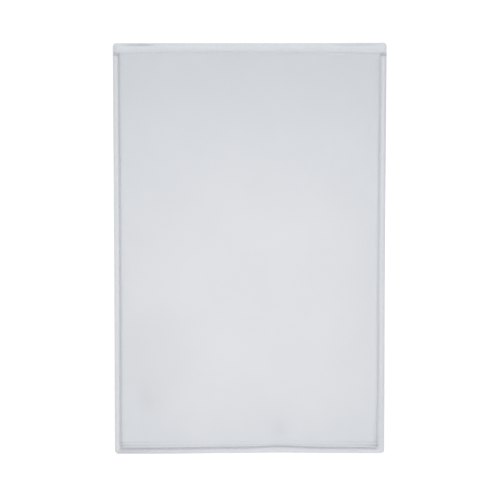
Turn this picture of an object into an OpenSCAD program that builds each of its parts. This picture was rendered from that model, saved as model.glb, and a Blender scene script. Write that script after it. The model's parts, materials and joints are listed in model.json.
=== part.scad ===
// Clear soft-vinyl badge holder: a flat pouch that an upright badge slides into from above.
// A front film and a taller back film are pressed together by seals on the left, right and bottom.
// The back film's top stands clear of the front film as a thumb lip, which bends to open the mouth.
// The pouch lies on its back: X is its width, Y runs up to the mouth and Z leaves the front film.
// The origin is the middle of the pouch's outline, on its back.

/* [Badge] */
// Width of the badge that the pocket takes
badge_w = 101.6; // [50:0.1:200]
// Height of the badge that the pocket takes
badge_h = 152.4; // [70:0.1:300]

/* [Pocket] */
// Side play of the badge between the seals, both sides together
side_play = 1.2; // [0.4:0.1:8]
// How far the front film reaches above a badge that sits on the bottom seal
cover_h = 5.2; // [2:0.1:25]

/* [Films] */
// Thickness of the front film
front_film_t = 0.3; // [0.15:0.05:0.6]
// Thickness of the back film
back_film_t = 0.3; // [0.15:0.05:0.6]
// Rise of the front film's free edge from its ends to its middle
mouth_rise = 0.6; // [0.2:0.1:3]
// Height of the thumb lip above the middle of the front film's free edge
lip_h = 3.4; // [2:0.1:20]
// Radius of the thumb lip's two corners
lip_corner_r = 1.3; // [0.4:0.1:1.4]

/* [Seals] */
// Width of the side seals, with their bead
side_seal_w = 2.7; // [1.8:0.1:8]
// Width of the bottom seal, with its bead
bottom_seal_w = 2.3; // [1.6:0.1:8]
// Thickness of the seals, where the two films are pressed into one
seal_t = 0.5; // [0.35:0.05:0.7]
// Height of the squeezed-out bead above the seals
bead_rise = 0.3; // [0.2:0.05:0.6]
// How far the side seals stop below the ends of the front film's free edge
seal_stop = 0.5; // [0.3:0.1:4]
// Radius of the pouch's two bottom corners
foot_corner_r = 1.4; // [0.4:0.1:1.5]

/* [Clearances] */
// Room between the bead's crest and the front film that lies on it
bead_gap = 0.05; // [0.02:0.01:0.2]
// Room between the back film's round top edge and the root of the thumb lip
fold_gap = 0.02; // [0.01:0.01:0.05]
// Distance of the lip's fold line above the front film's free edge
fold_offset = 0.3; // [0.2:0.05:1]
// Distance of the bead from the seals' inner edge, and from the back
bead_inset = 0.1; // [0.05:0.05:0.2]

/* [Hidden] */
$fn = 96;
// Steps round the wide circle that the front film's free edge is part of
mouth_arc_steps = 720;

// Outline, measured from the middle of the bottom edge
pocket_w = badge_w + side_play;
body_w = pocket_w + 2 * side_seal_w;
front_end_y = bottom_seal_w + badge_h + cover_h;
front_mid_y = front_end_y + mouth_rise;
seal_top_y = front_end_y - seal_stop;
body_h = front_mid_y + lip_h;

// Thumb lip: the back film ends in a round edge, on whose axis the lip turns
fold_y = front_mid_y + fold_offset;
fold_r = back_film_t / 2;
lip_root_y = fold_y + fold_r + fold_gap;

// Bead: a round ridge, which the front film lies on and turns about at the bottom
bead_crest_z = seal_t + bead_rise;
bead_r = (bead_crest_z - bead_inset) / 2;
bead_z = bead_crest_z - bead_r;
bead_from_edge = bead_inset + bead_r;
film_lap = bead_inset + 2 * bead_r;
bead_x = pocket_w / 2 + bead_from_edge;
bead_y = bottom_seal_w - bead_from_edge;

// Front film: it laps over the bead on three sides
front_z = bead_crest_z + bead_gap;
front_half_w = pocket_w / 2 + film_lap;
front_foot_y = bottom_seal_w - film_lap;
mouth_r = (front_half_w * front_half_w + mouth_rise * mouth_rise) / (2 * mouth_rise);

// A reach past every seal, for the 45 degree joints at the bottom corners
mitre_reach = side_seal_w + bottom_seal_w;

film_colour = [0.87, 0.89, 0.91, 0.45];
seal_colour = [0.78, 0.80, 0.83, 0.8];

// Moves a shape from the bottom edge's frame to the middle of the pouch
module centred() {
    translate([0, -body_h / 2, 0]) children();
}

// Outline from the X axis up to height h, with its two upper corners round
module round_topped(w, h, r) {
    translate([-w / 2, 0]) square([w, h - r]);
    translate([r - w / 2, 0]) square([w - 2 * r, h]);
    for (side = [-1, 1])
        translate([side * (w / 2 - r), h - r]) circle(r = r);
}

// Outline of the pouch below the tops of the side seals, with its bottom corners round
module foot_outline() {
    translate([0, seal_top_y]) mirror([0, 1]) round_topped(body_w, seal_top_y, foot_corner_r);
}

// Ground that the right seal covers, down to its 45 degree joint with the bottom seal
module right_ground() {
    polygon([
        [pocket_w / 2, bottom_seal_w],
        [pocket_w / 2 + mitre_reach, bottom_seal_w - mitre_reach],
        [pocket_w / 2 + mitre_reach, seal_top_y],
        [pocket_w / 2, seal_top_y]
    ]);
}

// Ground that the bottom seal covers, between its two 45 degree joints
module bottom_ground() {
    polygon([
        [-pocket_w / 2, bottom_seal_w],
        [-pocket_w / 2 - mitre_reach, bottom_seal_w - mitre_reach],
        [pocket_w / 2 + mitre_reach, bottom_seal_w - mitre_reach],
        [pocket_w / 2, bottom_seal_w]
    ]);
}

// Pressed strip on the ground given as its child
module pressed_strip() {
    linear_extrude(seal_t) intersection() {
        foot_outline();
        children();
    }
}

// Half of a seal pair: the strip up the right side with its bead
module side_seal() {
    pressed_strip() right_ground();
    intersection() {
        translate([bead_x, 0, bead_z]) rotate([-90, 0, 0]) cylinder(r = bead_r, h = seal_top_y);
        linear_extrude(bead_crest_z + bead_r) right_ground();
    }
}

module back_film() {
    color(film_colour) centred() {
        linear_extrude(back_film_t) {
            translate([-pocket_w / 2, bottom_seal_w]) square([pocket_w, fold_y - bottom_seal_w]);
            translate([-body_w / 2, seal_top_y]) square([body_w, fold_y - seal_top_y]);
        }
        translate([-body_w / 2, fold_y, fold_r]) rotate([0, 90, 0]) cylinder(r = fold_r, h = body_w);
    }
}

module thumb_lip() {
    color(film_colour) centred()
        translate([0, lip_root_y])
            linear_extrude(back_film_t) round_topped(body_w, body_h - lip_root_y, lip_corner_r);
}

module front_film() {
    color(film_colour) centred()
        translate([0, 0, front_z]) linear_extrude(front_film_t) intersection() {
            translate([-front_half_w, front_foot_y]) square([2 * front_half_w, front_mid_y - front_foot_y]);
            translate([0, front_mid_y - mouth_r]) circle(r = mouth_r, $fn = mouth_arc_steps);
        }
}

module right_seal() {
    color(seal_colour) centred() side_seal();
}

module left_seal() {
    color(seal_colour) centred() mirror([1, 0, 0]) side_seal();
}

module bottom_seal() {
    color(seal_colour) centred() {
        pressed_strip() bottom_ground();
        intersection() {
            translate([-body_w / 2, bead_y, bead_z]) rotate([0, 90, 0]) cylinder(r = bead_r, h = body_w);
            linear_extrude(bead_crest_z + bead_r) bottom_ground();
        }
    }
}

back_film();
thumb_lip();
front_film();
left_seal();
right_seal();
bottom_seal();
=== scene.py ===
# %% [markdown]
# A clear badge pouch
#
# This lesson dresses a soft-vinyl badge holder: two clear films, pressed together on three sides, with a
# thumb lip at the open top. Almost nothing on it has a colour of its own. What the eye reads is thickness:
# one film on the lip, two films over the pocket, and fused film with a squeezed-out bead at the edges.
# So each piece below is a real sheet with a real wall, and the finish is worked out layer by layer.

# %% Load the frame
import json

import bpy
import numpy as np
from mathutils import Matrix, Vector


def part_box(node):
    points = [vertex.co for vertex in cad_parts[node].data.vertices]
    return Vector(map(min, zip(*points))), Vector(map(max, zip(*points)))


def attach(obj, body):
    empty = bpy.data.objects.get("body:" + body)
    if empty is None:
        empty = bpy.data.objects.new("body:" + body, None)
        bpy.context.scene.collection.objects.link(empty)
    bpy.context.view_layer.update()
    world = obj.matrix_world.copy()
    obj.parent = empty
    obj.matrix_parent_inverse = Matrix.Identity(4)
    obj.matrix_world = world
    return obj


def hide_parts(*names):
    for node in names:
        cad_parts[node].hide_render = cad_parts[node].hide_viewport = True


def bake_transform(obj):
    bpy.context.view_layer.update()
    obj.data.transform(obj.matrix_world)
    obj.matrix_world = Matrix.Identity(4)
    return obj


MM = 0.001
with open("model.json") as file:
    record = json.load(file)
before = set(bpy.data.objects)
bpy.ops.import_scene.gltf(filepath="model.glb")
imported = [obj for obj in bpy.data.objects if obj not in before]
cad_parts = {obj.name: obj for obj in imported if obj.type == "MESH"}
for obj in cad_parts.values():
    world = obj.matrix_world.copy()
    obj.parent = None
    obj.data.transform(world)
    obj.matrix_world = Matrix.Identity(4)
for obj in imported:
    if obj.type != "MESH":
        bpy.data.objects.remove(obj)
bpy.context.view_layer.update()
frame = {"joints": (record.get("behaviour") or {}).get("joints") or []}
joint_at = {joint["name"]: joint["pos_m"] for joint in frame["joints"]}

# %% [markdown]
# Where things are
#
# The solid model already fixes the sizes. Its boxes give the pouch's half width, the pocket between the
# seals, the mouth and the lip, so none of these is typed again: only corner radii and the rise of the free
# edge are. The pouch lies on its back: X across, Y up to the mouth, Z out of the front film.

# %% Sizes from the solid model
front_low, front_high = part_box("front_film")
seal_low, seal_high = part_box("right_seal")
foot_low, foot_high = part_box("bottom_seal")
lip_low, lip_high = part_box("thumb_lip")

half_w = seal_high.x
pocket_half_w = seal_low.x
foot_y = foot_low.y
pocket_foot_y = foot_high.y
seal_top_y = seal_high.y
mouth_y = front_high.y
top_y = lip_high.y
film_t = lip_high.z - lip_low.z
fold_y = joint_at["lip_bend"][1]
print(f"pouch {2 * half_w / MM:.1f} x {(top_y - foot_y) / MM:.1f} mm, film {film_t / MM:.2f} mm")

# %% [markdown]
# The camera
#
# The pouch was photographed almost square on. Its sides draw together a little towards the bottom, so the
# top edge was nearer the lens. The two widths in the picture give the tilt: the nearer edge is wider by the
# ratio of the two distances. The lens then follows from the width in pixels at the middle.

# %% Camera
FRAME_PX = 500
WIDTH_NEAR_TOP_PX = 273.7
WIDTH_NEAR_FOOT_PX = 269.5
ROWS_BETWEEN_PX = 390
MIDDLE_COLUMN_PX = 249.8
TOP_ROW_PX = 42.9
FOOT_ROW_PX = 453.2
CAMERA_DISTANCE = 0.8
SENSOR = 36.0

px_per_m = (WIDTH_NEAR_TOP_PX + WIDTH_NEAR_FOOT_PX) / 2 / (2 * half_w)
depth_between = CAMERA_DISTANCE * (WIDTH_NEAR_TOP_PX / WIDTH_NEAR_FOOT_PX - 1)
tilt = np.arcsin(depth_between / (ROWS_BETWEEN_PX / px_per_m))
aim_x = (FRAME_PX / 2 - MIDDLE_COLUMN_PX) / px_per_m


def rows_up(y):
    """Rows above the aim of a point that far up the pouch: flat scale times distance over its own depth."""
    return px_per_m * y * np.cos(tilt) / (1 - y * np.sin(tilt) / CAMERA_DISTANCE)


middle_row = (TOP_ROW_PX + rows_up(top_y) + FOOT_ROW_PX + rows_up(foot_y)) / 2
aim_y = (middle_row - FRAME_PX / 2) / px_per_m

camera_data = bpy.data.cameras.new("photo_camera")
camera_data.sensor_width = SENSOR
camera_data.lens = SENSOR * px_per_m * CAMERA_DISTANCE / FRAME_PX
camera = bpy.data.objects.new("photo_camera", camera_data)
camera.location = (aim_x, aim_y + CAMERA_DISTANCE * np.sin(tilt), CAMERA_DISTANCE * np.cos(tilt))
camera.rotation_euler = (-tilt, 0, 0)
bpy.context.scene.collection.objects.link(camera)
bpy.context.scene.camera = camera
print(f"tilt {np.degrees(tilt):.2f} degrees, lens {camera_data.lens:.0f} mm")

# %% [markdown]
# Small helpers for finishes
#
# Colours are written as the hex values that a paint program shows, and one function turns them to the
# linear light that Blender works in. Another adds a node, sets it up and links it, so a finish reads as a
# list of what feeds what.

# %% Finish helpers
def linear(hex_code):
    """sRGB hex to linear RGBA: each channel through the sRGB curve, alpha 1."""
    srgb = np.array([int(hex_code[i:i + 2], 16) for i in (1, 3, 5)]) / 255
    low, high = srgb / 12.92, ((srgb + 0.055) / 1.055) ** 2.4
    return (*np.where(srgb <= 0.04045, low, high), 1.0)


def add(tree, kind, inputs=(), **settings):
    """Adds a node of that kind. settings are its properties; inputs are pairs of a socket's name or number
    and either an output socket to link or a plain value."""
    node = tree.nodes.new("ShaderNode" + kind)
    for name, value in settings.items():
        setattr(node, name, value)
    for socket, value in inputs:
        if isinstance(value, bpy.types.NodeSocket):
            tree.links.new(value, node.inputs[socket])
        else:
            node.inputs[socket].default_value = value
    return node


def new_finish(name):
    """An empty node material and its tree."""
    material = bpy.data.materials.new(name)
    material.use_nodes = True
    material.node_tree.nodes.clear()
    return material, material.node_tree


print(f"mid grey #808080 is {linear('#808080')[0]:.3f} in linear light")

# %% [markdown]
# The floor
#
# The pouch lies on a white paper sweep. One big plane is enough for it, because the room beyond looks just
# as white. It is matt and keeps the pouch's shadow. A little glow is added for the camera, for mirrors and
# for glass alone, so that bare floor reads as paper white without more light on the pouch.

# %% Floor
FLOOR_DROP = 0.1 * MM
FLOOR_HALF = 3.0
FLOOR_GLOW = 0.25
WHITE = linear("#ffffff")


def sees_background(tree):
    """1 for rays from the camera, mirrors and glass, 0 for the light that falls on things."""
    path = add(tree, "LightPath")
    either = add(tree, "Math", [(0, path.outputs["Is Camera Ray"]), (1, path.outputs["Is Glossy Ray"])],
                 operation="ADD")
    return add(tree, "Math", [(0, either.outputs[0]), (1, path.outputs["Is Transmission Ray"])],
               operation="ADD", use_clamp=True).outputs[0]


floor_corners = FLOOR_HALF * np.array([(-1, -1, 0), (1, -1, 0), (1, 1, 0), (-1, 1, 0)])
floor_corners[:, 2] = -FLOOR_DROP
floor_mesh = bpy.data.meshes.new("floor")
floor_mesh.from_pydata(floor_corners.tolist(), [], [(0, 1, 2, 3)])
floor = bpy.data.objects.new("floor", floor_mesh)
bpy.context.scene.collection.objects.link(floor)

# Uncoated white paper: no gloss, so all that shows on it is the shadow.
paper, tree = new_finish("matt_white_sweep")
matt = add(tree, "BsdfDiffuse", [("Color", linear("#f2f2f2"))])
glow = add(tree, "Emission", [("Color", WHITE), ("Strength", FLOOR_GLOW)])
nothing = add(tree, "Emission", [("Strength", 0.0)])
seen = add(tree, "MixShader", [(0, sees_background(tree)), (1, nothing.outputs[0]), (2, glow.outputs[0])])
both = add(tree, "AddShader", [(0, matt.outputs[0]), (1, seen.outputs[0])])
add(tree, "OutputMaterial", [("Surface", both.outputs[0])])
floor_mesh.materials.append(paper)
print(f"floor {2 * FLOOR_HALF:.0f} m square, {FLOOR_DROP / MM:.1f} mm under the pouch")

# %% [markdown]
# The light
#
# Soft white light comes from all round. A large softbox at the upper right and a smaller, lower one at the
# upper left are only a little brighter than the room, so the films shine where they mirror them, but don't
# burn out. A small, faintly warm ceiling panel is what the films mirror in the photograph: it makes the
# middle of the pouch lighter and warmer than its ends, which a lamp from the side can't do.

# %% Light
ROOM_LIGHT = 0.768
SOFTBOX = dict(width=1.4, height=1.4, power=12.5, place=(1.1, 0.9, 1.5), colour="#ffffff")
FILL = dict(width=0.9, height=0.6, power=2.4, place=(-0.85, 1.45, 1.0), colour="#ffffff")
PANEL = dict(width=0.57, height=0.46, power=1.79, place=(0.0, -0.2, 1.7), colour="#ffe9e6")


def area_lamp(name, width, height, power, place, colour):
    """A rectangular lamp of that size and colour at place, facing the pouch."""
    data = bpy.data.lights.new(name, "AREA")
    data.shape = "RECTANGLE"
    data.size = width
    data.size_y = height
    data.energy = power
    data.color = linear(colour)[:3]
    lamp = bpy.data.objects.new(name, data)
    lamp.location = place
    towards = -lamp.location
    lamp.rotation_euler = towards.to_track_quat("-Z", "Y").to_euler()
    bpy.context.scene.collection.objects.link(lamp)
    print(f"{name}: {power} W from {towards.length:.2f} m")


area_lamp("side_softbox", **SOFTBOX)
area_lamp("low_fill", **FILL)
area_lamp("ceiling_panel", **PANEL)

room = bpy.data.worlds.new("white_room")
room.use_nodes = True
tree = room.node_tree
tree.nodes.clear()
walls = add(tree, "Background", [("Color", WHITE), ("Strength", ROOM_LIGHT)]).outputs[0]
paper_white = add(tree, "Background", [("Color", WHITE), ("Strength", 1.0)]).outputs[0]
shown = add(tree, "MixShader", [(0, sees_background(tree)), (1, walls), (2, paper_white)])
add(tree, "OutputWorld", [("Surface", shown.outputs[0])])
bpy.context.scene.world = room
bpy.context.scene.view_settings.view_transform = "Standard"

# %% [markdown]
# Sheets with a wall
#
# A film could be a single face, but then its cut edge would have no thickness to catch the light, and the
# exported mesh would be open. Each film here starts as a grid of points at the middle of its wall. Half the
# wall is added along the normal on each side, and a rim closes the outline. The grid is fine near the
# edges, where the film bends, and coarse in the open middle.

# %% Sheet helpers
def stations(low, high, edge_step, step, edge_band):
    """Positions from low to high, edge_step apart within edge_band of either end and step apart between."""
    edge = np.arange(0, edge_band, edge_step)
    middle_count = int((high - low - 2 * edge_band) / step) + 1
    middle = np.linspace(low + edge_band, high - edge_band, middle_count)
    return np.concatenate((low + edge, middle, (high - edge)[::-1]))


def grid_quads(rows, columns):
    """Corner numbers of each quad of a grid, counter-clockwise seen from above."""
    index = np.arange(rows * columns).reshape(rows, columns)
    return np.stack((index[:-1, :-1], index[:-1, 1:], index[1:, 1:], index[1:, :-1]), axis=-1)


def closed_film(middle, thickness, quads):
    """Points, faces, kept grid numbers and rim of a film with that thickness. The wall is half the
    thickness along the normal on each side of the middle grid; an edge that only one quad uses gets a rim
    face. rim is true for those faces."""
    normal = np.cross(np.gradient(middle, axis=1), np.gradient(middle, axis=0))
    normal /= np.linalg.norm(normal, axis=-1, keepdims=True)
    half = (normal * thickness / 2).reshape(-1, 3)
    flat = middle.reshape(-1, 3)
    count = len(flat)
    start, end = quads.ravel(), np.roll(quads, -1, axis=1).ravel()
    outer = ~np.isin(start * count + end, end * count + start)
    start, end = start[outer], end[outer]
    rim_faces = np.stack((start, start + count, end + count, end), axis=-1)
    faces = np.concatenate((quads, quads[:, ::-1] + count, rim_faces))
    rim = np.arange(len(faces)) >= 2 * len(quads)
    kept, faces = np.unique(faces, return_inverse=True)
    points = np.concatenate((flat + half, flat - half))[kept]
    return points, faces.reshape(-1, 4), kept % count, rim


quad_example = grid_quads(2, 3).reshape(-1, 4).tolist()
print("a grid of 2 rows of 3 points has the quads", quad_example)

# %% [markdown]
# Putting a piece into the scene
#
# Every piece becomes a mesh object at the origin, with its place in its mesh. It carries three values for
# its finish. The line value of a point says how strongly a crease, a bead or wear shows there. The joint
# value of a face marks where a film runs into the seal: the vinyl has fused, so there is no surface at all.
# The cut value of a face marks a cut edge, which looks darker because it is seen along the film.

# %% Piece helper
SHARP_DEGREES = 35


def put_piece(name, points, faces, material, line, joint, cut):
    """A mesh object at the origin, smooth but for sharp edges, with the finish's line value of each point
    and joint and cut values of each face."""
    mesh = bpy.data.meshes.new(name)
    mesh.from_pydata(points.tolist(), [], faces)
    mesh.polygons.foreach_set("use_smooth", np.ones(len(mesh.polygons), bool))
    mesh.set_sharp_from_angle(angle=np.radians(SHARP_DEGREES))
    for label, domain, values in (("line", "POINT", np.clip(line, 0, 1)), ("joint", "FACE", joint),
                                  ("cut", "FACE", cut)):
        mesh.attributes.new(label, "FLOAT", domain).data.foreach_set("value", values.astype(np.float32))
    mesh.materials.append(material)
    piece = bpy.data.objects.new(name, mesh)
    bpy.context.scene.collection.objects.link(piece)
    mesh.calc_loop_triangles()
    print(f"{name}: {len(mesh.vertices)} points, {len(mesh.loop_triangles)} triangles")
    return piece


# %% [markdown]
# Marks of rolling and handling
#
# Film comes off hot rollers, which leave fine bumps. Later, fingers leave smudges and a pocket leaves
# hairline scuffs. Painted pictures could hold all this, but noise needs no unwrapping and no picture files.
# Bumps and smudges are noise of two sizes, and a scuff is a peak of noise that is stretched along one
# direction. A real scuff is finer than this one, which is drawn wide enough to show.

# %% Surface marks
SMUDGE_WIDTH = 34 * MM
BUMP_STRENGTH = 0.25
BUMP_HEIGHT = 0.01
SCUFF_WIDTH = 0.5 * MM
SCUFF_LENGTH = 8 * MM
SCUFF_TURN = 0.5
# Noise values where a scuff begins and where it is full
SCUFF_PEAK = (0.72, 0.8)
SCUFF_HAZE = 0.015


def surface_marks(tree, grain):
    """Three outputs: smudges, noise from 0 to 1; relief, the normal over bumps of that grain, whose height
    is a share of it; and scuffs, the haze that they add, which is 0 but at the peaks of stretched noise.
    The noise is turned by SCUFF_TURN radians."""
    place = add(tree, "TexCoord").outputs["Object"]
    smudge = add(tree, "TexNoise", [("Vector", place), ("Scale", 1 / SMUDGE_WIDTH), ("Detail", 3.0)])
    bumps = add(tree, "TexNoise", [("Vector", place), ("Scale", 1 / grain), ("Detail", 2.0)])
    relief = add(tree, "Bump", [("Height", bumps.outputs["Fac"]), ("Strength", BUMP_STRENGTH),
                                ("Distance", BUMP_HEIGHT * grain)])
    streaks = add(tree, "Mapping", [("Vector", place), ("Rotation", (0, 0, SCUFF_TURN)),
                                    ("Scale", (1 / SCUFF_WIDTH, 1 / SCUFF_LENGTH, 1 / SCUFF_LENGTH))])
    scuff = add(tree, "TexNoise", [("Vector", streaks.outputs[0]), ("Scale", 1.0), ("Detail", 0.0)])
    scuff = add(tree, "MapRange", [("Value", scuff.outputs["Fac"]), ("From Min", SCUFF_PEAK[0]),
                                   ("From Max", SCUFF_PEAK[1]), ("To Max", SCUFF_HAZE)])
    return smudge.outputs["Fac"], relief.outputs[0], scuff.outputs[0]


print(f"smudges {SMUDGE_WIDTH / MM:.0f} mm wide, scuffs {SCUFF_LENGTH / MM:.0f} mm long")

# %% [markdown]
# The finish: clear plasticised PVC film
#
# Rolled PVC film is glossy, slightly blue-grey and a little milky. Seen through one film, white paper turns
# pale grey. Real glass shading would need light to find its way through four thin walls, which is slow and
# noisy, and a thin flat film hardly bends light anyway. So light passes straight through each face with a
# tint, a small share is caught as haze, and the mirror gloss follows from the film's refractive index. A
# ray crosses two faces of every film, so each face carries half of the film's tint and haze.

# %% Film finish
PVC_IOR = 1.53
FACE_ON_GLOSS = ((PVC_IOR - 1) / (PVC_IOR + 1)) ** 2
CUT_EDGE = 3.0
# Noise values of a clean and of a smudged place, and how far smudges change the haze and the roughness
SMUDGE_RANGE = (0.3, 0.7)
SMUDGE_HAZE = 0.02
SMUDGE_ROUGHNESS = 0.05


def clear_pvc(name, tint, haze_colour, haze, line_colour, line_haze, roughness, grain):
    """One face of clear film: a straight view through, tinted, mixed with matt haze, under a gloss that
    grows from its face-on value to a full mirror with the fifth power of the slant. tint is the colour that
    the whole film gives white paper, so a face passes its square root. haze is the share of light that the
    face catches; smudges vary it and scuffs add a little. Where 'line' is 1, at a crease, a bead or a worn
    place, line_haze is added and the haze takes line_colour; where 'cut' is 1, CUT_EDGE times as much is
    added. grain is the width of the bumps. Where 'joint' is 1, the face vanishes."""
    material, tree = new_finish(name)
    smudge, relief, scuff = surface_marks(tree, grain)
    patchy = [("Value", smudge), ("From Min", SMUDGE_RANGE[0]), ("From Max", SMUDGE_RANGE[1])]
    line = add(tree, "Attribute", attribute_name="line").outputs["Fac"]
    cut = add(tree, "Attribute", attribute_name="cut").outputs["Fac"]
    line = add(tree, "Math", [(0, cut), (1, CUT_EDGE), (2, line)], operation="MULTIPLY_ADD").outputs[0]

    share = add(tree, "MapRange", patchy + [("To Min", (1 - SMUDGE_HAZE) * haze),
                                            ("To Max", (1 + SMUDGE_HAZE) * haze)]).outputs[0]
    share = add(tree, "Math", [(0, share), (1, scuff)], operation="ADD").outputs[0]
    share = add(tree, "Math", [(0, line), (1, line_haze), (2, share)], operation="MULTIPLY_ADD").outputs[0]
    # A Mix node keeps the sockets of all its types: a colour mix has its colours at 6 and 7, its result at 2
    caught = add(tree, "Mix", [(0, line), (6, linear(haze_colour)), (7, linear(line_colour))],
                 data_type="RGBA").outputs[2]
    milk = add(tree, "BsdfDiffuse", [("Color", caught), ("Normal", relief)]).outputs[0]
    one_face = np.sqrt(linear(tint))
    through = add(tree, "BsdfTransparent", [("Color", one_face)]).outputs[0]
    body = add(tree, "MixShader", [(0, share), (1, through), (2, milk)]).outputs[0]

    worn = add(tree, "MapRange", patchy + [("To Min", (1 - SMUDGE_ROUGHNESS) * roughness),
                                           ("To Max", (1 + SMUDGE_ROUGHNESS) * roughness)]).outputs[0]
    gloss = add(tree, "BsdfGlossy", [("Roughness", worn), ("Normal", relief)]).outputs[0]
    slant = add(tree, "LayerWeight", [("Blend", 0.5), ("Normal", relief)]).outputs["Facing"]
    slant = add(tree, "Math", [(0, slant), (1, 5.0)], operation="POWER").outputs[0]
    mirror = add(tree, "Math", [(0, slant), (1, 1 - FACE_ON_GLOSS), (2, FACE_ON_GLOSS)],
                 operation="MULTIPLY_ADD").outputs[0]
    face = add(tree, "MixShader", [(0, mirror), (1, body), (2, gloss)]).outputs[0]
    joint = add(tree, "Attribute", attribute_name="joint").outputs["Fac"]
    nothing = add(tree, "BsdfTransparent").outputs[0]
    face = add(tree, "MixShader", [(0, joint), (1, face), (2, nothing)]).outputs[0]
    add(tree, "OutputMaterial", [("Surface", face)])
    return material


print(f"seen face on, the film mirrors {100 * FACE_ON_GLOSS:.1f} % of the light")

# %% [markdown]
# Three films from one finish
#
# All of the pouch is the same vinyl, but not equally clear. In the photograph the pocket is no darker than
# the single film of the lip, so nearly all of the tint and haze is in the back film, and the front film is
# almost clear. The pressed seal has been melted, which leaves it a little milkier, with a finer grain.

# %% The three finishes
# Polished clear film: white paper keeps its colour under it, and only the gloss and the marks show: wear,
# and painted shade in the folds, at the free edge and near the lower corners.
front_finish = clear_pvc("clear_pvc_front_film", tint="#fdfeff", haze_colour="#edf5f8", haze=0.01,
                         line_colour="#a09dae", line_haze=0.17, roughness=0.22, grain=5 * MM)
# Clear film with some milk in it: paper turns a cool pale grey. Its lines are wear and painted shade.
back_finish = clear_pvc("clear_pvc_back_film", tint="#f0f4f6", haze_colour="#b8bec4", haze=0.15,
                        line_colour="#8d92a0", line_haze=0.19, roughness=0.24, grain=5 * MM)
# Heat-pressed film: a paler milk, and violet-grey lines: the thicker melt along the bead, and painted shade.
seal_finish = clear_pvc("pressed_pvc_seal", tint="#ebeff1", haze_colour="#d0d0d6", haze=0.16,
                        line_colour="#988c9e", line_haze=0.22, roughness=0.26, grain=1.5 * MM)
print("finishes:", front_finish.name, back_finish.name, seal_finish.name)

# %% [markdown]
# Not quite straight
#
# Soft vinyl shrinks as it cools, and a die never sits perfectly square. On this pouch the bottom weld is
# pulled up by over a millimetre a little right of the middle, and its left third sags a little. The right
# seal's inner edge leans in towards the foot, and both long sides are drawn in by a hair. The seal and both
# films meet along these edges, so the same two functions shift every piece. The solid model keeps the
# straight lines. Most of these irregularities are bells and soft steps, so those two curves come first.

# %% Seal shifts
RIPPLE_AT = 12.2 * MM
# Each bell's share of the ripple and its width
RIPPLE_BELLS = ((0.55, 9 * MM), (0.45, 32 * MM))
RIPPLE_FADE = 6 * MM
LEFT_SAG = 0.2 * MM
SAG_AT = -22 * MM
SAG_SOFT = 4 * MM
POCKET_RIPPLE = 1.4 * MM
LEFT_WAIST = 0.08 * MM
RIGHT_WAIST = 0.18 * MM
LEAN = 0.35 * MM
CORNER_TUCK = 0.5 * MM
TUCK_HEIGHT = 14 * MM
TUCK_SOFT = 3 * MM


def bell(value, middle, width):
    """1 at the middle, falling off on both sides: e to the minus square of the distance over the width."""
    return np.exp(-((value - middle) / width) ** 2)


def step_down(value, at, soft):
    """1 well below at, 0 well above it and a smooth S between: one over one plus e to the distance above
    at, counted in soft."""
    return 1 / (1 + np.exp((value - at) / soft))


def ripple(x, y, reach):
    """Upward shift at a point: a narrow and a wide bell across the width, each a share of reach, less a
    soft step that lets the left third down, all fading with height above the foot."""
    lift = sum(part * bell(x, RIPPLE_AT, width) for part, width in RIPPLE_BELLS)
    sag = LEFT_SAG * step_down(x, SAG_AT, SAG_SOFT)
    return (reach * lift - sag) * np.exp(-(y - foot_y) / RIPPLE_FADE)


def way_down(y):
    """0 at the tops of the side seals, 1 at the foot."""
    return np.clip((seal_top_y - y) / (seal_top_y - foot_y), 0, 1)


def draw_in(x, y, lean, tuck):
    """Sideways shift at a point: a squared sine along the height pulls both sides in by the waist. On the
    right, lean grows in a straight line from the top of the seals to the foot, and tuck is a soft step that
    pulls in the stretch above the foot, with the fourth power of the way out to the side."""
    waist = np.where(x < 0, LEFT_WAIST, RIGHT_WAIST) * np.sin(np.pi * way_down(y)) ** 2
    to_right = np.clip(x / half_w, 0, 1)
    corner = tuck * step_down(y, foot_y + TUCK_HEIGHT, TUCK_SOFT)
    return -waist * x / half_w - lean * to_right * way_down(y) - corner * to_right ** 4


print(f"the bottom weld is pulled up by {ripple(RIPPLE_AT, foot_y, POCKET_RIPPLE) / MM:.2f} mm")

# %% [markdown]
# The front film's shape
#
# The front film leaves the seal steeply, runs over the bead and settles into a very shallow pillow: the two
# films are a little slack, so air holds them apart. Cloth simulation would give a similar swell, but a
# formula keeps the film exactly clear of the seal. Two fine folds follow the bottom weld, and the film is
# pinched above its ripple.

# %% Front film shape
front_half_w = front_high.x
front_foot_y = front_low.y
front_level = (front_low.z + front_high.z) / 2
TUCK = 0.45 * MM
TUCK_LENGTH = 0.3 * MM
PILLOW = 0.2 * MM
PILLOW_LENGTH = 10 * MM
# Each wave's height, its lengths along X and Y (a minus sign leans it the other way) and its start
WAVES = ((0.03 * MM, 17 * MM, 41 * MM, 0.0), (0.03 * MM, -37 * MM, 23 * MM, 1.3),
         (0.015 * MM, 9 * MM, -13 * MM, 0.4))
WAVE_FADE = 8 * MM
PINCH = dict(depth=0.08 * MM, up=7 * MM, half_width=5 * MM, half_height=4 * MM)
# Each fold's strength and its height above the film's foot
FOLDS = ((1.0, 1.8 * MM), (0.5, 3.0 * MM))
FOLD_WIDTH = 0.35 * MM
FOLD_DEPTH = 0.05 * MM
FOLD_OPEN = 0.35
FOLD_REACH = 9 * MM


def folds(x, y):
    """0 to 1: a bell across each fold. Far from the corners it is FOLD_OPEN of what it is there."""
    near_corner = FOLD_OPEN + (1 - FOLD_OPEN) * np.exp(-(front_half_w - np.abs(x)) / FOLD_REACH)
    return sum(part * bell(y - front_foot_y, up, FOLD_WIDTH) for part, up in FOLDS) * near_corner


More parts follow.
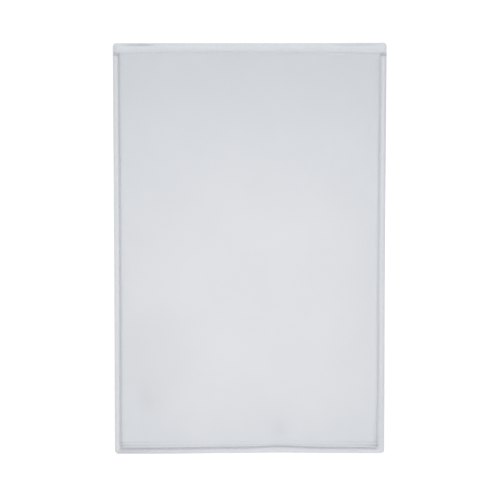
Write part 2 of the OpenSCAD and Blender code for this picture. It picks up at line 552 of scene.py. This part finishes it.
def front_middle(x, y):
    """Height of the front film's middle: a steep rise from the tucked edge, a slow swell, a few long sine
    waves and one pinch above the ripple, all fading out towards the sealed edges, less the folds."""
    from_side = front_half_w - np.abs(x)
    from_foot = y - front_foot_y

    def rise(length):
        """0 along the sealed edges, near 1 a few lengths in: one minus a fading exponential from each."""
        return (1 - np.exp(-from_side / length)) * (1 - np.exp(-from_foot / length))

    waves = sum(height * np.sin(x / along_x + y / along_y + start)
                for height, along_x, along_y, start in WAVES)
    pinch = PINCH["depth"] * bell(x, RIPPLE_AT, PINCH["half_width"])
    pinch = pinch * bell(from_foot, PINCH["up"], PINCH["half_height"])
    swell = TUCK * rise(TUCK_LENGTH) + PILLOW * rise(PILLOW_LENGTH) + (waves - pinch) * rise(WAVE_FADE)
    return front_level - TUCK + swell - FOLD_DEPTH * folds(x, y)


middle_height = front_middle(0.0, 0.0)
print(f"the front film's middle lies {middle_height / MM:.2f} mm above the back")

# %% [markdown]
# The front film's wear, painted shade, and its mesh
#
# A few soft ovals of the film are rubbed dull by handling. Two narrow ovals up from the pocket's lower
# corners are painted shade, and so is the film's darkening towards its sides. All of this goes into the
# line value that the finish reads, with painted shade in the folds and a thin painted shadow along the free
# edge. That edge rises slightly in the middle, so the grid's rows are shares of the way up to it.

# %% Front film
FRONT_RIPPLE = 1.1 * MM
MOUTH_RISE = 0.6 * MM
# A thin painted shadow along the front film's free edge: its strength and width
MOUTH_EDGE_SHADOW = 0.7
MOUTH_EDGE_SHADOW_WIDTH = 0.5 * MM
# Painted shade in the creases of the folds
FOLD_SHADE = 0.9
# How strongly the rubbed ovals and the painted shade below show
RUB_AND_SHADE = 0.17
# The large oval low on the left: its middle and half sizes
PATCH = (-38 * MM, -42 * MM, 15 * MM, 22 * MM)
# Small rubbed ovals low on the left and above the ripple, then painted shade up from both lower corners:
# strength, middle, half sizes
OVALS = ((0.8, -40 * MM, -61 * MM, 5 * MM, 6 * MM), (1.3, RIPPLE_AT, -73 * MM, 3 * MM, 4.5 * MM),
         (1.3, 50.8 * MM, -79 * MM, 1.1 * MM, 15 * MM), (1.0, -51 * MM, -79 * MM, 0.8 * MM, 15 * MM))
# Painted shade that darkens the film towards both sides
SIDE_SHADE = 0.9
# Grid steps along the edges and in the middle, and how wide the edges' finer band is
FRONT_STEPS = np.array((0.2, 1.6, 4)) * MM


def rubbed_and_shaded(x, y):
    """0 to about 2: one flat-topped oval, whose squared distance is squared again, a few that are plain
    bells, and a slow rise towards both sides with the square of x. The large oval and the first two small
    ones are wear; the two ovals up from the corners and the rise towards the sides are painted shade."""
    patch_x, patch_y, patch_half_w, patch_half_h = PATCH
    patch = np.exp(-(((x - patch_x) / patch_half_w) ** 2 + ((y - patch_y) / patch_half_h) ** 2) ** 2)
    ovals = sum(part * bell(x, at_x, wide) * bell(y, at_y, high) for part, at_x, at_y, wide, high in OVALS)
    return patch + ovals + SIDE_SHADE * (x / front_half_w) ** 2


across = stations(-front_half_w, front_half_w, *FRONT_STEPS)
along = stations(0, 1, *(FRONT_STEPS / (mouth_y - front_foot_y)))
x, share_up = np.meshgrid(across, along)
edge_y = mouth_y - MOUTH_RISE * (x / front_half_w) ** 2
y = front_foot_y + share_up * (edge_y - front_foot_y)
z = front_middle(x, y)
# The line value: painted shadow along the free edge, painted shade in the folds, and the rubbed ovals with
# their painted shade
line = MOUTH_EDGE_SHADOW * bell(y, edge_y, MOUTH_EDGE_SHADOW_WIDTH) + FOLD_SHADE * folds(x, y) + RUB_AND_SHADE * rubbed_and_shaded(x, y)
x, y = x + draw_in(x, y, LEAN, CORNER_TUCK), y + ripple(x, y, FRONT_RIPPLE)
quads = grid_quads(*x.shape).reshape(-1, 4)
points, faces, kept, rim = closed_film(np.stack((x, y, z), axis=-1), film_t, quads)
# The rim is fused below the tops of the seals, and a cut edge above them
joint = rim & (points[faces].mean(axis=1)[:, 1] < seal_top_y)
front_piece = put_piece("front_film_sheet", points, faces.tolist(), front_finish,
                        line.ravel()[kept], joint, rim & ~joint)

# %% [markdown]
# The back film and its lip
#
# The back film lies flat. Between the seals it is as wide as the pocket, and above their ends it takes the
# whole width and becomes the lip, with two small round corners. One grid covers both: the quads that the
# seals take are left out, and the last rows narrow to round the corners. The lip curls up by a hair, and
# its cut runs slightly off square at the right.

# %% Back film shape
LIP_CORNER = 1.3 * MM
LIP_CURL = 0.2 * MM
LIP_SKEW = 0.2 * MM
# Grid steps and edge band, as for the front film
BACK_STEPS = (0.4 * MM, 2 * MM, 2 * MM)
STRIP_COLUMNS = 12
LIP_ROWS = 24
LIP_CORNER_ROWS = 14

inner = stations(-pocket_half_w, pocket_half_w, *BACK_STEPS)
outer = np.linspace(pocket_half_w, half_w, STRIP_COLUMNS)[1:]
across = np.concatenate((-outer[::-1], inner, outer))
low_part = stations(pocket_foot_y, seal_top_y, *BACK_STEPS)
lip_part = np.linspace(seal_top_y, top_y - LIP_CORNER, LIP_ROWS)[1:]
corner_turn = np.linspace(0, np.pi / 2, LIP_CORNER_ROWS)[1:]
along = np.concatenate((low_part, lip_part, top_y - LIP_CORNER + LIP_CORNER * np.sin(corner_turn)))
x, y = np.meshgrid(across, along)
into_corner = np.clip(y - (top_y - LIP_CORNER), 0, LIP_CORNER)
row_half_w = half_w - LIP_CORNER + np.sqrt(LIP_CORNER ** 2 - into_corner ** 2)
x = x * row_half_w / half_w
up_lip = np.clip((y - fold_y) / (top_y - fold_y), 0, 1)
z = film_t / 2 + LIP_CURL * up_lip ** 2
skew = LIP_SKEW * up_lip * np.clip(x / half_w, 0, 1) ** 2
mid_x = np.abs(across[:-1] + across[1:]) / 2
mid_y = (along[:-1] + along[1:]) / 2
keep = (mid_x[None, :] < pocket_half_w) | (mid_y[:, None] > seal_top_y)
quads = grid_quads(*x.shape)[keep]
print(f"back film: {len(along)} rows of {len(across)} points, {len(quads)} quads kept")

# %% [markdown]
# Wear and painted shade on the lip
#
# The lip is the part that thumbs touch, so it is duller than the rest and scuffed near its cut edge. On
# two stretches of that edge, most at the upper left, the darker line is painted shade where the edge curls.
# Beside each end of the mouth, the front film's free edge casts a faint painted shadow. These go into the
# line value, again as bells across and along the lip.

# %% Back film
LIP_WEAR = 0.14
LIP_EDGE_WEAR = 0.05
# How strongly the edge's scuffs and painted shade show
LIP_EDGE_SCUFF_AND_SHADE = 0.6
LIP_EDGE_IN = 0.8 * MM
LIP_EDGE_WIDTH = 0.4 * MM
# Stretches of the edge with painted shade where it curls: strength, middle and half width
EDGE_CURL_SHADES = ((1.0, -43.6 * MM, 6 * MM), (0.4, 43 * MM, 9 * MM))
SIDE_SCUFF = 0.6
SIDE_SCUFF_WIDTH = 1.2 * MM
# A faint painted shadow of the front film's edge beside each end of the mouth: its strength and width
MOUTH_END_SHADOW = 0.5
MOUTH_END_SHADOW_WIDTH = 0.3 * MM


def lip_wear_and_shade(x, y, to_outline):
    """Line value of the lip: an even dullness, a bell along the inside of the cut edge, stronger on the
    stretches of painted shade, which are flat-topped bells of the fourth power, and at the left side's
    scuff, and a painted shadow at the mouth's ends. to_outline is how far a point lies inside the cut."""
    scuffed_and_shaded = sum(part * np.exp(-((x - at) / width) ** 4) for part, at, width in EDGE_CURL_SHADES)
    scuffed_and_shaded = scuffed_and_shaded + SIDE_SCUFF * bell(x, -half_w, SIDE_SCUFF_WIDTH)
    near_edge = bell(to_outline, LIP_EDGE_IN, LIP_EDGE_WIDTH)
    mouth_end_shadow = MOUTH_END_SHADOW * bell(y, mouth_y - MOUTH_RISE, MOUTH_END_SHADOW_WIDTH) * (np.abs(x) > pocket_half_w)
    return LIP_WEAR + mouth_end_shadow + near_edge * (LIP_EDGE_WEAR + LIP_EDGE_SCUFF_AND_SHADE * scuffed_and_shaded)


to_outline = np.minimum(row_half_w - np.abs(x), top_y - y)
line = np.where(y > seal_top_y, lip_wear_and_shade(x, y, to_outline), 0)
x, y = x + draw_in(x, y, LEAN, CORNER_TUCK), y + ripple(x, y, POCKET_RIPPLE) + skew
points, faces, kept, rim = closed_film(np.stack((x, y, z), axis=-1), film_t, quads)
joint = rim & (points[faces].mean(axis=1)[:, 1] < seal_top_y)
back_piece = put_piece("back_film_sheet", points, faces.tolist(), back_finish,
                       line.ravel()[kept], joint, rim & ~joint)

# %% [markdown]
# The edge seal's section
#
# A heated die presses both films into one strip along the left, bottom and right. It leaves three marks: a
# thin ridge where the waste was torn off, a flat land, and a round bead of melt squeezed out along the
# inner edge. The die pressed less along most of the right side, so the bead is lower there. Places across
# the strip are shares of its width, because it is a little wider at the sides than at the foot.

# %% Seal section
LAND = 0.43 * MM
LAND_END = 0.6
RIDGE = dict(height=0.10 * MM, at=0.08, width=0.05)
BEAD_HEIGHT = 0.24 * MM
BEAD_AT = 0.84
BEAD_HALF = 0.15
EDGE_DROP = 0.6
EDGE_ROUND = 0.02
TOP_POINTS = 61
UNDER_POINTS = 5
FAINT_BEAD = 0.7
FAINT_FROM = 30 * MM
FAINT_SOFT = 6 * MM
FAINT_END = 4 * MM


def seal_profile():
    """Shares of the strip's width from the outer edge, heights without the bead, and heights of the bead,
    round the section. On top, a bell for the torn ridge stands on the land, which falls in a straight line
    to the film's thickness, and the bead is a half ellipse. The outer edge is rounded by an exponential.
    Then the section runs back along the flat underside."""
    share = np.linspace(0, 1, TOP_POINTS)
    ridge = RIDGE["height"] * bell(share, RIDGE["at"], RIDGE["width"])
    bead = BEAD_HEIGHT * np.sqrt(np.clip(1 - ((share - BEAD_AT) / BEAD_HALF) ** 2, 0, 1))
    base = LAND + (film_t - LAND) * np.clip((share - LAND_END) / (1 - LAND_END), 0, 1)
    round_edge = 1 - EDGE_DROP * np.exp(-share / EDGE_ROUND)
    under = np.linspace(1, 0, UNDER_POINTS)
    flat = np.zeros_like(under)
    heights = (np.concatenate((part * round_edge, flat)) for part in (base + ridge, bead))
    return np.concatenate((share, under)), *heights


def bead_left(x, y):
    """Share of the bead's height that is left: all of it but on the right, where a soft step down the side
    takes some away and the last millimetres above the foot bring it back."""
    lower = step_down(y, FAINT_FROM, FAINT_SOFT)
    above_foot = 1 - np.exp(-(y - foot_y) / FAINT_END)
    return 1 - FAINT_BEAD * (x > pocket_half_w) * lower * above_foot


share, height, bead_height = seal_profile()
print(f"the seal is {(height + bead_height).max() / MM:.2f} mm high at its bead")

# %% [markdown]
# The edge seal's path
#
# The section is carried along the pouch's edge. A curve with a bevel would give it one width and one shape
# all along, so the strip is lofted between two U-shaped paths instead: the outer outline with its round
# corners, and the pocket's edge. A last ridge crosses the strip at each top end, where the die stopped.

# %% Edge seal path
FOOT_CORNER = 1.4 * MM
POCKET_CORNER = 0.4 * MM
FINE_SHARE = 0.012
FINE_STEPS = 13
SIDE_STEPS = 160
CORNER_STEPS = 14
FOOT_STEPS = 90
OUTLINE_LEAN = 0.12 * MM
OUTLINE_RIPPLE = 0.3 * MM
END_RIDGE = dict(rise=0.4, at=0.3 * MM, width=0.2 * MM)
END_DROP = 0.7
END_ROUND = 0.08 * MM


def u_path(half, low, high, corner, side_steps):
    """A U from the top left, down, round two corners of that radius and up to the top right. side_steps are
    shares of the way down a side, fine near the top."""
    turn = np.linspace(0, np.pi / 2, CORNER_STEPS)
    left = np.stack((np.full_like(side_steps, -half), high - (high - low - corner) * side_steps), axis=-1)
    bend = np.stack((-half + corner * (1 - np.cos(turn)), low + corner * (1 - np.sin(turn))), axis=-1)
    foot = np.linspace((-half + corner, low), (half - corner, low), FOOT_STEPS)
    half_u = np.concatenate((left[:-1], bend[:-1]))
    return np.concatenate((half_u, foot, (half_u * (-1, 1))[::-1]))


fine_steps = np.linspace(0, FINE_SHARE, FINE_STEPS)[:-1]
side_steps = np.concatenate((fine_steps, np.linspace(FINE_SHARE, 1, SIDE_STEPS)))
outline = u_path(half_w, foot_y, seal_top_y, FOOT_CORNER, side_steps)
pocket = u_path(pocket_half_w, pocket_foot_y, seal_top_y, POCKET_CORNER, side_steps)
outline += np.stack((draw_in(*outline.T, OUTLINE_LEAN, 0), ripple(*outline.T, OUTLINE_RIPPLE)), axis=-1)
pocket += np.stack((draw_in(*pocket.T, LEAN, CORNER_TUCK), ripple(*pocket.T, POCKET_RIPPLE)), axis=-1)
height = height + bead_height * bead_left(*outline.T)[:, None]
rings = outline[:, None] * (1 - share[None, :, None]) + pocket[:, None] * share[None, :, None]
from_end = seal_top_y - rings[..., 1]
die_end = 1 + END_RIDGE["rise"] * bell(from_end, END_RIDGE["at"], END_RIDGE["width"])
die_end = die_end - END_DROP * np.exp(-from_end / END_ROUND)
rings = np.concatenate((rings, (height * die_end)[..., None]), axis=-1)
count, around = rings.shape[:2]
print(f"edge seal: {count} rings of {around} points")

# %% [markdown]
# The edge seal's skin
#
# Each ring of points is joined to the next by quads, and one face closes the strip at each top end. The
# quads on the wall towards the pocket are where the films run in, so they count as a joint. Those on the
# outer wall were torn from the waste, so they count as a cut edge.

# %% Edge seal skin
index = np.arange(count * around).reshape(count, around)
following = np.roll(index, -1, axis=1)
sides = np.stack((index[:-1], following[:-1], following[1:], index[1:]), axis=-1).reshape(-1, 4)
faces = sides.tolist() + [index[0, ::-1].tolist(), index[-1].tolist()]
inner_wall = np.arange(around) == np.argmax(share)
torn_wall = np.arange(around) == around - 1
joint = np.concatenate((np.tile(inner_wall, count - 1), [False, False]))
cut = np.concatenate((np.tile(torn_wall, count - 1), [False, False]))
print(f"edge seal: {len(faces)} faces, {joint.sum()} of them fused and {cut.sum()} torn")

# %% [markdown]
# Marks and painted shade on the seal
#
# The die didn't press evenly, and that is most of what the eye sees of the edge. The bead shows as a dark
# line: partly its thicker melt, and partly painted shade for the light that its round section bends away.
# The line is strongest along the foot and at the upper left, faint up the right side and smeared out at the
# lower right. A thinner line follows the torn edge, the strip is dull near the bottom left corner, one
# small nick sits halfway down the left bead, and a bar of painted shadow crosses each top end. These are
# bells across and along the strip, added up into the line value. A pair of numbers is for the left and the
# right side.

# %% Seal marks
# The bead's dark line, partly its thicker melt and partly painted shade: its width and spread
BEAD_LINE = 0.11
BEAD_SPREAD = 0.25
SIDE_LOSS = (0.1, 0.42)
MIDWAY_LOSS = (0.56, 0.5)
FOOT_LOSS = 0.2
SMEAR_REACH = (14 * MM, 30 * MM)
SMEAR_LOSS = (0.7, 1.0)
SMEAR = dict(strength=0.34, start=0.1, width=0.3)
DULL_REACH = 18 * MM
DULL_LOSS = 0.4
DULL_GREY = 0.42
RIGHT_GREY = 0.035
NICK = dict(strength=0.45, at=-7.6 * MM, width=0.8 * MM)
TORN_AT = 0.15
TORN_WIDTH = 0.14
TORN_LINE = 0.04
TORN_SIDE = (0.25, 0.4)
TORN_MIDWAY = 0.15
# A bar of painted shadow across each top end of the side seals
END_SHADOW = dict(strength=0.7, at=0.2 * MM, width=0.4 * MM)


def seal_marks(x, y, share, upper, on_side):
    """Line value at points of the strip. Across it, the bead's line, its thicker melt and painted shade, is
    a bell round the bead and the torn line a bell near the outer edge. Along a side, each weakens midway by
    a squared sine, from which the lower left only half recovers, and near the foot the bead's line widens
    and fades, on the right into an even smear. Along the foot the bead's line grows from left to right. A
    bar of painted shadow crosses each top end. upper is 1 on the strip's top face, on_side is 1 on the sides
    and 0 along the foot."""
    on_right = x > 0

    def by_side(pair):
        """The first number of the pair on the left side, the second on the right."""
        return np.where(on_right, pair[1], pair[0])

    down = way_down(y)
    midway = np.sin(np.pi * down) ** 2
    midway = on_side * np.where(on_right | (down < 0.5), midway, (1 + midway) / 2)
    smeared = on_side * np.exp(-(y - foot_y) / by_side(SMEAR_REACH))
    dull = (1 - on_side) * np.exp(-(x + half_w) / DULL_REACH)

    pressed = 1 - on_side * by_side(SIDE_LOSS) - by_side(MIDWAY_LOSS) * midway
    pressed = pressed - (1 - on_side) * FOOT_LOSS * (1 - x / half_w)
    nick = NICK["strength"] * on_side * ~on_right * bell(y, NICK["at"], NICK["width"])
    bead = pressed * (1 - by_side(SMEAR_LOSS) * smeared) * (1 - DULL_LOSS * dull) + nick
    bead = bead * bell(share, BEAD_AT, BEAD_LINE + BEAD_SPREAD * smeared)
    inward = np.clip((share - SMEAR["start"]) / SMEAR["width"], 0, 1)
    smear = SMEAR["strength"] * smeared * on_right * inward
    torn = TORN_LINE + on_side * by_side(TORN_SIDE) * (1 - on_right * smeared) - TORN_MIDWAY * midway
    torn = torn * bell(share, TORN_AT, TORN_WIDTH)
    grey = DULL_GREY * dull + RIGHT_GREY * on_side * on_right
    # Painted shadow across each top end
    end_shadow = END_SHADOW["strength"] * bell(seal_top_y - y, END_SHADOW["at"], END_SHADOW["width"])
    return np.maximum(np.maximum(bead, smear) * upper + torn + grey, end_shadow)


# The rings where a corner begins or ends: over each corner the side's marks give way to the foot's
side_rows = len(side_steps) - 1
corner_rows = CORNER_STEPS - 1
bends = [side_rows, side_rows + corner_rows, count - 1 - side_rows - corner_rows, count - 1 - side_rows]
on_side = np.interp(np.arange(count), bends, [1, 0, 0, 1])[:, None]
line = seal_marks(rings[..., 0], rings[..., 1], share, height > 0, on_side)
seal_piece = put_piece("edge_seal_strip", rings.reshape(-1, 3), faces, seal_finish,
                       line.ravel(), joint, cut)
print(f"marks on the seal: mean {line.mean():.2f}, strongest {line.max():.2f}")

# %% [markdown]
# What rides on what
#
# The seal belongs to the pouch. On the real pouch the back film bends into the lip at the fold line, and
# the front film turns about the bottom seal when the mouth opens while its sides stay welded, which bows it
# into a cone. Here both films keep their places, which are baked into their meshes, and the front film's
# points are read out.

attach(seal_piece, "pouch")
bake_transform(back_piece)
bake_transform(front_piece)
place = np.empty(3 * len(front_piece.data.vertices), np.float32)
front_piece.data.vertices.foreach_get("co", place)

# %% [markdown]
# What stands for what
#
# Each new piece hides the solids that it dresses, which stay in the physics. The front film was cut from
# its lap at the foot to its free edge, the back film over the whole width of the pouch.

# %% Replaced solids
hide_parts("left_seal", "right_seal", "bottom_seal")
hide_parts("back_film", "thumb_lip")
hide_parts("front_film")
print(f"front film cut {2 * front_half_w / MM:.1f} x {(mouth_y - front_foot_y) / MM:.1f} mm")
